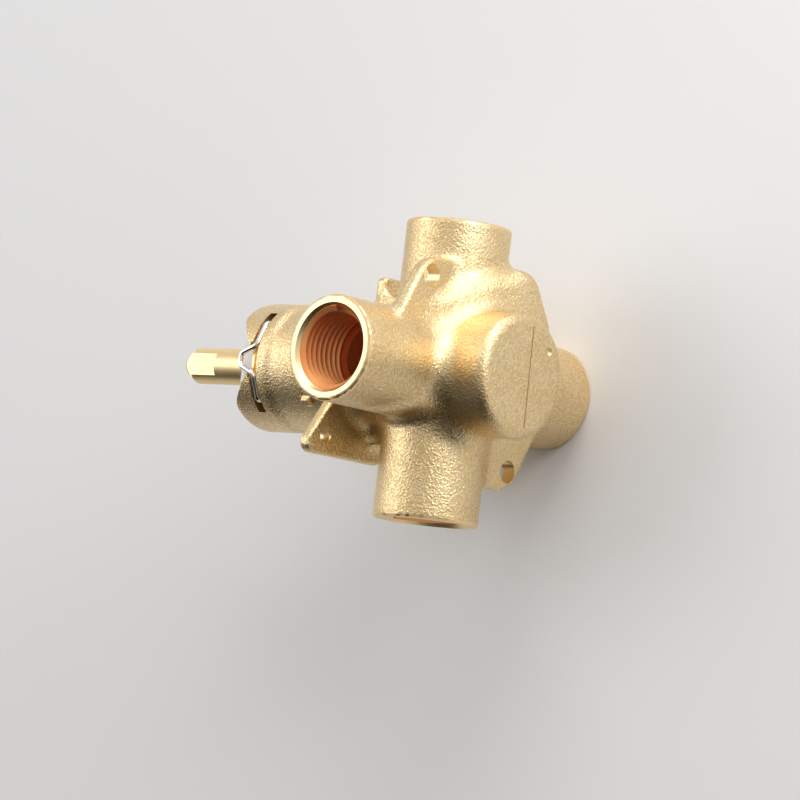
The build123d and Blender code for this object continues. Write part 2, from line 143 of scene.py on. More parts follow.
def grain_group() -> bpy.types.NodeTree:
    """Build the grain that blasted, moulded and rubber surfaces share.

    Returns:
        A shader group: Size and Spread in, Height, Fleck and Tone out.
    """
    tree = new_group("surface_grain", "ShaderNodeTree", (
        ("Size", "INPUT", "NodeSocketFloat"),
        ("Spread", "INPUT", "NodeSocketFloat"),
        ("Height", "OUTPUT", "NodeSocketFloat"),
        ("Fleck", "OUTPUT", "NodeSocketFloat"),
        ("Tone", "OUTPUT", "NodeSocketFloat"),
    ))
    sheet = NodeSheet(tree)
    ports = sheet.add("NodeGroupInput").outputs
    place = sheet.add("ShaderNodeTexCoord").outputs["Object"]
    scale = sheet.math("DIVIDE", 1.0, ports["Size"])
    fine = sheet.add("ShaderNodeTexNoise", {
        "Vector": place, "Scale": scale, "Detail": 2.0, "Roughness": 0.55,
    })
    fleck = sheet.add("ShaderNodeMapRange", {
        "Value": fine.outputs[0], "From Min": 0.4, "From Max": 0.6,
    }).outputs["Result"]
    wide_scale = sheet.math("DIVIDE", 1.0, ports["Spread"])
    wide = sheet.add("ShaderNodeTexNoise", {
        "Vector": place, "Scale": wide_scale, "Detail": 2.0, "Roughness": 0.5,
    })
    tone = sheet.add("ShaderNodeMapRange", {
        "Value": wide.outputs[0], "From Min": 0.35, "From Max": 0.65,
    }).outputs["Result"]
    sheet.add("NodeGroupOutput", {"Height": fine.outputs[0], "Fleck": fleck, "Tone": tone})
    return tree


def turning_group() -> bpy.types.NodeTree:
    """Build the fine tool lines of turned pieces.

    Returns:
        A shader group: Pitch in, Height out.
    """
    tree = new_group("turning_lines", "ShaderNodeTree", (
        ("Pitch", "INPUT", "NodeSocketFloat"),
        ("Height", "OUTPUT", "NodeSocketFloat"),
    ))
    sheet = NodeSheet(tree)
    ports = sheet.add("NodeGroupInput").outputs
    place = sheet.add("ShaderNodeTexCoord").outputs["Object"]
    along = sheet.add("ShaderNodeSeparateXYZ", {0: place}).outputs["Y"]
    step = sheet.math("DIVIDE", along, ports["Pitch"])
    line = sheet.add("ShaderNodeTexNoise", {"W": step, "Scale": 1.0, "Detail": 1.0}, noise_dimensions="1D")
    sheet.add("NodeGroupOutput", {"Height": line.outputs[0]})
    return tree


# Finishes


@dataclass(frozen=True)
class Finish:
    """One surface finish, in linear colour and metres. Fleck is the share of the pit colour in the grain's
    low spots: partly the dark speckle of blasted brass, partly painted shade in the hollows.
    """

    name: str
    slot: str
    base: tuple[float, float, float]
    shade: tuple[float, float, float]
    metallic: float
    roughness: float
    rough_swing: float = 0.06
    pit: tuple[float, float, float] = (0.0, 0.0, 0.0)
    fleck: float = 0.0
    grain: float = 0.5 * MM
    spread: float = 9.0 * MM
    depth: float = 0.02 * MM
    turning_pitch: float = 0.0

    def material(self, groups: dict[str, bpy.types.NodeTree]) -> bpy.types.Material:
        """Build the procedural material.

        Args:
            groups: The shared shader groups by name.

        Returns:
            The new material.
        """
        material = bpy.data.materials.new(self.name)
        material.use_nodes = True
        sheet = NodeSheet(material.node_tree)
        grain = sheet.add("ShaderNodeGroup", node_tree=groups["grain"])
        grain.inputs["Size"].default_value = self.grain
        grain.inputs["Spread"].default_value = self.spread
        colour = self.blended(sheet, grain.outputs["Tone"], self.shade, self.base)
        # Pit colour in the grain's low spots: partly blasted speckle, partly painted shade in the hollows.
        pit_speckle_and_shade = sheet.add("ShaderNodeMapRange", {
            "Value": grain.outputs["Fleck"], "To Min": self.fleck, "To Max": 0.0,
        }).outputs["Result"]
        colour = self.blended(sheet, pit_speckle_and_shade, colour, self.pit)
        rough = sheet.add("ShaderNodeMapRange", {
            "Value": grain.outputs["Fleck"],
            "To Min": self.roughness + self.rough_swing, "To Max": self.roughness - self.rough_swing,
        }).outputs["Result"]
        height = grain.outputs["Height"]
        if self.turning_pitch:
            lines = sheet.add("ShaderNodeGroup", node_tree=groups["turning"])
            lines.inputs["Pitch"].default_value = self.turning_pitch
            height = lines.outputs["Height"]
        bump = sheet.add("ShaderNodeBump", {"Strength": 1.0, "Distance": self.depth, "Height": height})
        shader = sheet.add("ShaderNodeBsdfPrincipled", {
            "Base Color": colour, "Roughness": rough, "Normal": bump.outputs["Normal"],
            "Metallic": self.metallic,
        })
        sheet.add("ShaderNodeOutputMaterial", {"Surface": shader.outputs["BSDF"]})
        return material

    @staticmethod
    def blended(sheet: NodeSheet, share: bpy.types.NodeSocket, *colours: object) -> bpy.types.NodeSocket:
        """Mix two colours by a share.

        Args:
            sheet: Where the node goes.
            share: Share of the second colour.
            colours: Two colours, each a constant or a socket.

        Returns:
            The mixed colour.
        """
        mix = sheet.add("ShaderNodeMix", {"Factor": share}, data_type="RGBA")
        for key, colour in zip("AB", colours):
            socket = next(s for s in mix.inputs if s.name == key and s.type == "RGBA")
            if isinstance(colour, bpy.types.NodeSocket):
                sheet.tree.links.new(colour, socket)
            else:
                socket.default_value = (*colour, 1.0)
        return next(s for s in mix.outputs if s.type == "RGBA")


# Cast brass's dark brown pit colour is partly blasted speckle, partly painted shade in the grain's hollows.
CAST_BRASS = Finish("cast_brass_blasted", "cast_brass", (0.94, 0.75, 0.44), (0.92, 0.70, 0.38), 1.0, 0.34,
                    rough_swing=0.08, pit=(0.38, 0.22, 0.08), fleck=0.34, grain=0.55 * MM, depth=0.26 * MM)
CUT_BRASS = Finish("cut_brass", "cast_brass", (0.95, 0.73, 0.40), (0.93, 0.68, 0.35), 1.0, 0.34,
                   rough_swing=0.05, grain=0.3 * MM, depth=0.006 * MM)
# Port bores and pipe threads: deep orange brass, painted shade standing in for light bouncing inside the
# bores.
BORE_SHADE_BRASS = Finish("bore_shade_brass", "cast_brass", (0.94, 0.42, 0.15), (0.90, 0.36, 0.12), 0.7, 0.36,
                     rough_swing=0.05, grain=0.3 * MM, depth=0.006 * MM)
SEAM_BRASS = Finish("seam_brass", "cast_brass", (0.42, 0.26, 0.10), (0.36, 0.21, 0.08), 1.0, 0.55)
TURNED_BRASS = Finish("turned_brass", "turned_brass", (0.95, 0.75, 0.42), (0.93, 0.71, 0.37), 1.0, 0.42,
                      grain=0.25 * MM, depth=0.004 * MM, turning_pitch=0.3 * MM)
CHROME_WIRE = Finish("chrome_wire", "chrome_wire", (0.90, 0.90, 0.91), (0.86, 0.86, 0.88), 1.0, 0.12,
                     rough_swing=0.03, grain=0.2 * MM, depth=0.002 * MM)
WHITE_PLASTIC = Finish("white_moulding", "white_plastic", (0.86, 0.84, 0.81), (0.82, 0.79, 0.76), 0.0, 0.42,
                       grain=0.3 * MM, depth=0.006 * MM)
INNER_PLASTIC = Finish("grey_moulding", "inner_plastic", (0.11, 0.115, 0.125), (0.09, 0.095, 0.10), 0.0, 0.45,
                       grain=0.3 * MM, depth=0.006 * MM)
SPOOL_STEEL = Finish("ground_steel", "spool_steel", (0.60, 0.60, 0.61), (0.54, 0.54, 0.56), 1.0, 0.24,
                     grain=0.2 * MM, depth=0.005 * MM, turning_pitch=0.1 * MM)
SEAL_RUBBER = Finish("black_rubber", "seal_rubber", (0.02, 0.02, 0.021), (0.014, 0.014, 0.015), 0.0, 0.6,
                     grain=0.35 * MM, depth=0.01 * MM)

NODE_FINISHES: dict[str, Finish] = {
    "retainer_clip": CHROME_WIRE,
    "stem": TURNED_BRASS,
    "cartridge_shell": WHITE_PLASTIC,
    "shell_end_cap": WHITE_PLASTIC,
    "rotor_sleeve": INNER_PLASTIC,
    "spool_plug": INNER_PLASTIC,
    "thrust_washer": INNER_PLASTIC,
    "balance_spool": SPOOL_STEEL,
}


@dataclass
class Palette:
    """Every material of the valve, built once."""

    groups: dict[str, bpy.types.NodeTree] = field(default_factory=dict)
    made: dict[str, bpy.types.Material] = field(default_factory=dict)

    def __post_init__(self) -> None:
        """Build the shared groups."""
        self.groups = {"grain": grain_group(), "turning": turning_group()}

    def get(self, finish: Finish) -> bpy.types.Material:
        """Material of a finish, built on first use."""
        if finish.name not in self.made:
            self.made[finish.name] = finish.material(self.groups)
        return self.made[finish.name]


# Distance fields of the casting, in millimetres


def joined(a: np.ndarray, b: np.ndarray, radius: float) -> np.ndarray:
    """Union of two distance fields with a round inside corner."""
    corner = np.hypot(np.maximum(radius - a, 0), np.maximum(radius - b, 0))
    return np.maximum(radius, np.minimum(a, b)) - corner


def common(a: np.ndarray, b: np.ndarray, radius: float) -> np.ndarray:
    """Common part of two distance fields with a round outside corner."""
    corner = np.hypot(np.maximum(radius + a, 0), np.maximum(radius + b, 0))
    return np.minimum(-radius, np.maximum(a, b)) + corner


def half_plane(x: np.ndarray, z: np.ndarray, normal_deg: float, distance: float) -> np.ndarray:
    """Distance past a line across the barrel axis.

    Args:
        x: Places to the right.
        z: Places upwards.
        normal_deg: Direction of the line's outward normal, from X towards Z.
        distance: From the barrel axis to the line.

    Returns:
        The signed distance.
    """
    turn = math.radians(normal_deg)
    return math.cos(turn) * x + math.sin(turn) * z - distance


# Meshes


def link_object(name: str, mesh: bpy.types.Mesh) -> bpy.types.Object:
    """Make an object of a mesh and put it in the scene."""
    piece = bpy.data.objects.new(name, mesh)
    bpy.context.scene.collection.objects.link(piece)
    return piece


def applied(piece: bpy.types.Object) -> bpy.types.Mesh:
    """Mesh of an object with its modifiers, as plain data.

    Args:
        piece: The object, which loses its modifiers.

    Returns:
        The new mesh, already on the object.
    """
    graph = bpy.context.evaluated_depsgraph_get()
    mesh = bpy.data.meshes.new_from_object(piece.evaluated_get(graph))
    piece.modifiers.clear()
    piece.data = mesh
    return mesh


def smooth_by_angle(mesh: bpy.types.Mesh, degrees: float) -> None:
    """Shade a mesh smooth, with sharp edges past an angle."""
    mesh.polygons.foreach_set("use_smooth", [True] * len(mesh.polygons))
    mesh.set_sharp_from_angle(angle=math.radians(degrees))


@dataclass
class Cutter:
    """Closed tools that machine the casting, in millimetres."""

    segments: int = 128

    def lathe(self, profile: Sequence[tuple[float, float]], axis: Vector, centre: Vector) -> bpy.types.Object:
        """Turn a profile into a closed tool.

        Args:
            profile: Distance along the axis and radius of each corner, starting and ending on the axis.
            axis: Direction of the tool.
            centre: Where the distances start.

        Returns:
            The tool as an object.
        """
        turn = axis.to_track_quat("Z", "Y").to_matrix()
        mesh = bmesh.new()
        angles = [2 * math.pi * step / self.segments for step in range(self.segments)]
        rings = []
        for along, radius in profile:
            if radius <= 0:
                rings.append([mesh.verts.new((centre + turn @ Vector((0, 0, along))) * MM)])
                continue
            points = [Vector((radius * math.cos(a), radius * math.sin(a), along)) for a in angles]
            rings.append([mesh.verts.new((centre + turn @ point) * MM) for point in points])
        for low, high in zip(rings, rings[1:]):
            for step in range(self.segments):
                after = (step + 1) % self.segments
                corners = [low[step % len(low)], low[after % len(low)], high[after % len(high)],
                           high[step % len(high)]]
                mesh.faces.new(list(dict.fromkeys(corners)))
        return self.finished(mesh)

    def rod(self, start: Vector, end: Vector, radius: float) -> bpy.types.Object:
        """Round tool between two points."""
        length = (end - start).length
        profile = [(0, 0), (0, radius), (length, radius), (length, 0)]
        return self.lathe(profile, (end - start).normalized(), start)

    def ball(self, centre: Vector, radius: float) -> bpy.types.Object:
        """Ball tool round a point."""
        steps = 12
        turns = [math.pi * step / steps for step in range(steps + 1)]
        profile = [(-radius * math.cos(turn), radius * math.sin(turn)) for turn in turns]
        profile[0], profile[-1] = (-radius, 0), (radius, 0)
        return self.lathe(profile, Vector((0, 1, 0)), centre)

    def prism(self, outline: Sequence[tuple[float, float]], low: float, high: float,
              along: str = "Z") -> bpy.types.Object:
        """Straight tool over a flat outline.

        Args:
            outline: Corners in order, of X and Y, or of X and Z for a tool along Y.
            low: One end.
            high: The other end.
            along: Axis of the tool, Y or Z.

        Returns:
            The tool as an object.
        """
        mesh = bmesh.new()
        ends = []
        for end in (low, high):
            places = [Vector((a, end, b)) if along == "Y" else Vector((a, b, end)) for a, b in outline]
            ends.append([mesh.verts.new(place * MM) for place in places])
            mesh.faces.new(ends[-1])
        for side in range(len(outline)):
            after = (side + 1) % len(outline)
            mesh.faces.new((ends[0][side], ends[0][after], ends[1][after], ends[1][side]))
        return self.finished(mesh)

    @staticmethod
    def finished(mesh: bmesh.types.BMesh) -> bpy.types.Object:
        """Close a tool's mesh, turn its faces outwards and make it an object."""
        bmesh.ops.recalc_face_normals(mesh, faces=mesh.faces)
        data = bpy.data.meshes.new("cutter")
        mesh.to_mesh(data)
        mesh.free()
        return link_object("cutter", data)


# Sub-assemblies


@dataclass
class Casting:
    """The brass body: cast form as a distance field, then machined. Millimetres."""

    voxel: float = 0.6
    blend: float = 2.8
    cap_blend: float = 5.0
    port_y: float = -9.3
    port_r: float = 13.5
    outlet_reach: float = 43.8
    inlet_reach: float = 38.4
    rim_round: float = 0.8
    thread_r: float = 10.5
    thread_depth: float = 15.5
    mouth_chamfer: float = 0.9
    passage_r: float = 7.6
    barrel_r: float = 16.8
    lip_y: float = -70.8
    lip_round: float = 4.0
    collar_y: float = -56.9
    neck_y: float = -53.9
    neck_r: float = 16.1
    cap_r: float = 16.0
    cap_y: float = 17.9
    cap_round: float = 2.5
    nub_deg: float = 37.6
    nub_y: float = -43.0
    nub_height: float = 1.1
    nub_half: tuple[float, float] = (1.1, 1.4)
    nub_round: float = 0.4
    lug_thickness: float = 3.8
    lug_hole: tuple[float, float] = (22.4, 19.0)
    lug_hole_r: float = 2.9
    lug_side: float = 27.5
    lug_slant_deg: float = 63.0
    lug_slant: float = 31.1
    ear_y: float = -29.3
    ear_thickness: float = 3.4
    ear_hole: tuple[float, float] = (19.4, 19.2)
    ear_hole_r: float = 2.05
    ear_side: float = 24.3
    ear_slant_deg: float = 123.5
    ear_slant: float = 9.5
    ear_root: float = 3.05
    plate_corner: float = 4.6
    plate_round: float = 0.9
    plate_blend: float = 1.8
    web_blend: float = 2.8
    shoulder_height: float = 8.2
    shoulder_level: float = -6.0
    shoulder_fall_deg: float = 4.0
    slope_height: float = 7.43
    slope_level: float = 5.0
    slope_fall_deg: float = 30.0
    slope_round: float = 8.0
    shoulder_side_deg: float = 157.0
    shoulder_side: float = 23.3
    shoulder_end_deg: float = 239.0
    shoulder_end: float = 25.4
    shoulder_foot_deg: float = -30.8
    shoulder_corner: float = 6.0
    shoulder_foot: float = 4.0
    shoulder_round: float = 3.4
    shoulder_blend: float = 3.2
    bore_front_r: float = 12.6
    bore_rear_r: float = 12.0
    bore_step_y: float = -26.0
    bore_end_y: float = 12.4
    lip_chamfer: float = 0.3
    well_x: float = 16.5
    seat_r: float = 2.6
    seat_offset: float = 3.5
    clip_y: float = -59.95
    slot_half: float = 1.25
    slot_floor_r: float = 14.0
    slot_x: float = 13.0
    slot_rim: float = 0.7
    rim_z: float = 14.9
    rim_pass_x: float = 4.65
    notch_half: float = 3.6
    notch_slant_deg: float = 38.5
    notch_corner: float = 1.5
    leg_x: float = 10.1
    leg_top: float = 13.0
    leg_hole_r: float = 0.95
    seam_ends: tuple[tuple[float, float], tuple[float, float]] = ((-12.8, -1.65), (12.85, -2.35))
    seam_r: float = 0.2
    seam_out: float = 0.02
    dent: tuple[float, float, float] = (-7.5, 18.6, -8.6)
    dent_r: float = 1.3
    pit: tuple[float, float, float] = (2.5, 4.0, 42.1)
    pit_r: float = 0.4
    tool_past: float = 2.0
    near: float = 0.1
    near_port: float = 0.5
    cap_inside_y: float = 13.4

    def core_field(self, x: np.ndarray, y: np.ndarray, z: np.ndarray) -> np.ndarray:
        """Barrel and ports with their blends, as a distance field."""
        deep = y - self.port_y
        upright = common(np.hypot(x, deep) - self.port_r, np.abs(z) - self.outlet_reach, self.rim_round)
        level = common(np.hypot(z, deep) - self.port_r, np.abs(x) - self.inlet_reach, self.rim_round)
        ports = joined(upright, level, self.blend)
        step = np.clip((y - self.collar_y) / (self.neck_y - self.collar_y), 0, 1)
        draft = np.clip((y - self.neck_y) / (self.cap_y - self.neck_y), 0, 1)
        drop = self.neck_r - self.barrel_r
        radius = self.barrel_r + drop * step * step * (3 - 2 * step) + (self.cap_r - self.neck_r) * draft
        barrel = common(np.hypot(x, z) - radius, self.lip_y - y, self.lip_round)
        barrel = common(barrel, y - self.cap_y, self.cap_round)
        return joined(ports, barrel, self.cap_blend)

    def shoulder_field(self, x: np.ndarray, y: np.ndarray, z: np.ndarray) -> np.ndarray:
        """Pad beside the hot inlet, as a distance field."""
        side = half_plane(x, z, self.shoulder_side_deg, self.shoulder_side)
        end = half_plane(x, z, self.shoulder_end_deg, self.shoulder_end)
        foot = half_plane(x, z, self.shoulder_foot_deg, 0.0)
        plan = common(common(side, end, self.shoulder_corner), foot, self.shoulder_foot)
        level = half_plane(z - self.shoulder_level, y - self.shoulder_height,
                           90.0 - self.shoulder_fall_deg, 0.0)
        slope = half_plane(z - self.slope_level, y - self.slope_height, 90.0 - self.slope_fall_deg, 0.0)
        face = common(level, slope, self.slope_round)
        return np.maximum(common(plan, face, self.shoulder_round), -self.lug_thickness - y)

    def nub_field(self, x: np.ndarray, y: np.ndarray, z: np.ndarray) -> np.ndarray:
        """Small flat nub on the barrel's side, as a distance field."""
        half_x, half_y = self.nub_half
        across = np.abs(half_plane(x, z, -self.nub_deg, 0.0)) - half_x
        plan = common(across, np.abs(y - self.nub_y) - half_y, self.nub_round)
        out = half_plane(x, z, 90.0 - self.nub_deg, self.neck_r + self.nub_height)
        return np.maximum(common(plan, out, self.nub_round), -out - 2 * self.nub_height)

    def lug_field(self, x: np.ndarray, y: np.ndarray, z: np.ndarray) -> np.ndarray:
        """Rear lug on one side, as a distance field."""
        slant = half_plane(x, z, self.lug_slant_deg, self.lug_slant)
        plan = common(x - self.lug_side, slant, self.plate_corner)
        plan = np.maximum(np.maximum(plan, -z), -x)
        half = self.lug_thickness / 2
        return common(plan, np.abs(y + half) - half, self.plate_round)

    def ear_field(self, x: np.ndarray, y: np.ndarray, z: np.ndarray) -> np.ndarray:
        """Front ear on one side with its web to the inlet, as a distance field."""
        slant = half_plane(x, z, self.ear_slant_deg, self.ear_slant)
        plan = common(x - self.ear_side, slant, self.plate_corner)
        plan = common(plan, -self.ear_root - z, self.plate_corner / 3)
        half = self.ear_thickness / 2
        plate = common(np.maximum(plan, -x), np.abs(y - self.ear_y + half) - half, self.plate_round)
        reach = (self.port_y - self.ear_y) / 2
        web = common(np.maximum(x - self.ear_hole[0], -x), np.abs(z) - self.ear_root, self.plate_round)
        web = np.maximum(web, np.abs(y - self.ear_y - reach) - reach)
        return joined(plate, web, self.web_blend)

    def distance(self, x: np.ndarray, y: np.ndarray, z: np.ndarray) -> np.ndarray:
        """The whole casting before machining, as a distance field.

        Args:
            x: Places towards the cold inlet.
            y: Places towards the back cap.
            z: Places towards the shower outlet.

        Returns:
            Distance to the surface, negative inside.
        """
        body = joined(self.core_field(x, y, z), self.shoulder_field(x, y, z), self.shoulder_blend)
        for way in (1, -1):
            body = joined(body, self.lug_field(-way * x, y, way * z), self.plate_blend)
            body = joined(body, self.ear_field(way * x, y, way * z), self.web_blend)
        return joined(body, self.nub_field(x, y, z), self.nub_round)

    def surface(self) -> tuple[np.ndarray, np.ndarray]:
        """Mesh the casting's field.

        Returns:
            Points in millimetres and the corners of each quad.
        """
        low, high = (np.array(corner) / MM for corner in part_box("valve_body"))
        margin = 4 * self.voxel
        axes = [np.arange(a - margin, b + margin, self.voxel) for a, b in zip(low, high)]
        x, y, z = np.meshgrid(*axes, indexing="ij", sparse=True)
        grid = openvdb.FloatGrid()
        grid.copyFromArray(self.distance(x, y, z).astype(np.float32))
        points, quads = grid.convertToQuads(isovalue=0.0)
        places = np.asarray(points, float) * self.voxel + [axis[0] for axis in axes]
        return self.settled(places), np.asarray(quads)

    def settled(self, places: np.ndarray) -> np.ndarray:
        """Move points onto the field's surface.

        Args:
            places: Points near the surface.

        Returns:
            The points after a few steps along the slope.
        """
        probe, least_slope, rounds = 0.02, 0.2, 3
        for _ in range(rounds):
            value = self.distance(*places.T)
            slope = np.empty_like(places)
            for axis in range(3):
                offset = np.zeros(3)
                offset[axis] = probe
                slope[:, axis] = (self.distance(*(places + offset).T) - value) / probe
            steep = np.maximum((slope ** 2).sum(axis=1), least_slope)
            places = places - (value / steep)[:, None] * slope
        return places

    def port_tool(self, tools: Cutter, way: PortWay) -> bpy.types.Object:
        """Tool that bores one port: passage, thread bore and chamfered mouth."""
        reach = self.inlet_reach if way.is_inlet else self.outlet_reach
        start = self.well_x if way.is_inlet else 0.0
        floor = reach - self.thread_depth
        past = self.tool_past
        profile = [(start, 0), (start, self.passage_r), (floor, self.passage_r), (floor, self.thread_r),
                   (reach - self.mouth_chamfer, self.thread_r),
                   (reach + past, self.thread_r + self.mouth_chamfer + past), (reach + past, 0)]
        return tools.lathe(profile, way.vector, Vector((0, self.port_y, 0)))

    def clip_tools(self, tools: Cutter, far: float) -> list[bpy.types.Object]:
        """Tools for the clip: groove over the barrel, notch in the lip and leg holes.

        Args:
            tools: Makes the tools.
            far: A height past the whole barrel.

        Returns:
            The tools as objects.
        """
        slot_y = (self.clip_y - self.slot_half, self.clip_y + self.slot_half)
        notch_y = slot_y[0] - self.slot_rim
        steps, corner_steps = 48, 6
        sweep = math.asin(self.slot_x / self.slot_floor_r)
        turns = [sweep * (2 * step / steps - 1) for step in range(steps + 1)]
        floor = [(self.slot_floor_r * math.sin(turn), self.slot_floor_r * math.cos(turn)) for turn in turns]
        made = [tools.prism([*floor, (self.slot_x, far), (-self.slot_x, far)], *slot_y, along="Y")]
        rim = [(-self.rim_pass_x, notch_y), (self.rim_pass_x, notch_y), (self.rim_pass_x, self.clip_y),
               (-self.rim_pass_x, self.clip_y)]
        made.append(tools.prism(rim, self.rim_z, far))
        front = self.lip_y - self.lip_round
        slant = math.radians(self.notch_slant_deg)
        spread = self.notch_half + (notch_y - front) / math.tan(slant)
        start = self.notch_half - self.notch_corner * math.tan(slant / 2)
        corner = []
        for step in range(corner_steps + 1):
            turn = slant * step / corner_steps
            corner.append((start + self.notch_corner * math.sin(turn),
                           notch_y - self.notch_corner * (1 - math.cos(turn))))
        mirrored = [(-x, y) for x, y in reversed(corner)]
        made.append(tools.prism([*mirrored, *corner, (spread, front), (-spread, front)], 0, far))
        for leg_x in (-self.leg_x, self.leg_x):
            low, high = Vector((leg_x, self.clip_y, -far)), Vector((leg_x, self.clip_y, self.leg_top))
            made.append(tools.rod(low, high, self.leg_hole_r))
        return made

    def tools(self) -> list[bpy.types.Object]:
        """Every tool that machines the casting.

        Returns:
            The tools as objects, in the order of the work.
        """
        tools = Cutter()
        past = self.tool_past
        far = 2 * self.barrel_r
        chamfer_r = self.bore_front_r + self.lip_chamfer
        bore = [(-self.bore_end_y, 0), (-self.bore_end_y, self.bore_rear_r),
                (-self.bore_step_y, self.bore_rear_r), (-self.bore_step_y, self.bore_front_r),
                (-self.lip_y - self.lip_chamfer, self.bore_front_r),
                (-self.lip_y, chamfer_r), (-self.lip_y + past, chamfer_r + past), (-self.lip_y + past, 0)]
        made = [tools.lathe(bore, Vector((0, -1, 0)), Vector())]
        made += [self.port_tool(tools, way) for way in PortWay]
        for way, seat_y in ((PortWay.HOT, -self.seat_offset), (PortWay.COLD, self.seat_offset)):
            start = Vector((0, self.port_y + seat_y, 0))
            made.append(tools.rod(start, start + way.vector * (self.well_x + past), self.seat_r))
        made += self.clip_tools(tools, far)
        ends = [Vector((x, self.cap_y + self.seam_out, z)) for x, z in self.seam_ends]
        made.append(tools.rod(*ends, self.seam_r))
        made += [tools.ball(Vector(self.dent), self.dent_r), tools.ball(Vector(self.pit), self.pit_r)]
        lug_x, lug_z = self.lug_hole
        ear_x, ear_z = self.ear_hole
        for way in (1, -1):
            lug = Vector((-way * lug_x, -self.lug_thickness / 2, way * lug_z))
            ear = Vector((way * ear_x, self.ear_y - self.ear_thickness / 2, way * ear_z))
            for place, radius in ((lug, self.lug_hole_r), (ear, self.ear_hole_r)):
                reach = Vector((0, self.lug_thickness * 2, 0))
                made.append(tools.rod(place - reach, place + reach, radius))
        return made

    def build(self, palette: Palette) -> bpy.types.Object:
        """Cast, machine and dress the body.

        Args:
            palette: The valve's materials.

        Returns:
            The finished piece, which stands for the CAD casting.
        """
        points, quads = self.surface()
        mesh = bpy.data.meshes.new("cast_body")
        mesh.from_pydata((points * MM).tolist(), [], quads.tolist())
        work = bmesh.new()
        work.from_mesh(mesh)
        bmesh.ops.recalc_face_normals(work, faces=work.faces)
        work.to_mesh(mesh)
        work.free()
        piece = link_object("cast_body", mesh)
        tools = self.tools()
        for tool in tools:
            cut = piece.modifiers.new("cut", "BOOLEAN")
            cut.object = tool
            cut.operation = "DIFFERENCE"
            cut.solver = "MANIFOLD"
        mesh = applied(piece)
        for tool in tools:
            bpy.data.objects.remove(tool)
        self.dress(mesh, palette)
        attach(piece, Body.VALVE.value)
        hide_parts("valve_body")
        return piece

    def dress(self, mesh: bpy.types.Mesh, palette: Palette) -> None:
        """Give cast faces, machined faces, port bores and the cap's seam their finishes; the port bores get a
        deep orange painted shade.

        Args:
            mesh: The machined body.
            palette: The valve's materials.
        """
        mesh.materials.clear()
        for finish in (CAST_BRASS, CUT_BRASS, BORE_SHADE_BRASS, SEAM_BRASS):
            mesh.materials.append(palette.get(finish))
        cast, cut, bore_shade, seam = range(len(mesh.materials))
        centres = np.empty(len(mesh.polygons) * 3)
        mesh.polygons.foreach_get("center", centres)
        places = centres.reshape(-1, 3) / MM
        finish_of = np.full(len(places), cast, np.int32)
        x, y, z = places.T
        past_end = np.maximum(np.abs(z) - self.outlet_reach, np.abs(x) - self.inlet_reach)
        finish_of[past_end > -self.rim_round] = cut
        depth = np.abs(self.distance(x, y, z))
        machined = depth > self.voxel / 3
        finish_of[machined] = cut
        off_axis = np.hypot(np.minimum(np.abs(x), np.abs(z)), y - self.port_y)
        outside = np.hypot(x, z) > self.bore_front_r + self.near
        in_port = (past_end < -self.mouth_chamfer) & (off_axis < self.thread_r + self.near_port)
        # Bore walls: deep orange painted shade.
        finish_of[machined & outside & in_port] = bore_shade
        dented = np.linalg.norm(places - np.array(self.dent), axis=1) < self.dent_r + self.near
        finish_of[(depth > self.seam_r / 4) & (y > self.cap_inside_y)] = seam
        finish_of[dented] = cast
        mesh.polygons.foreach_set("material_index", finish_of)
        smooth_by_angle(mesh, SHARP_DEG)


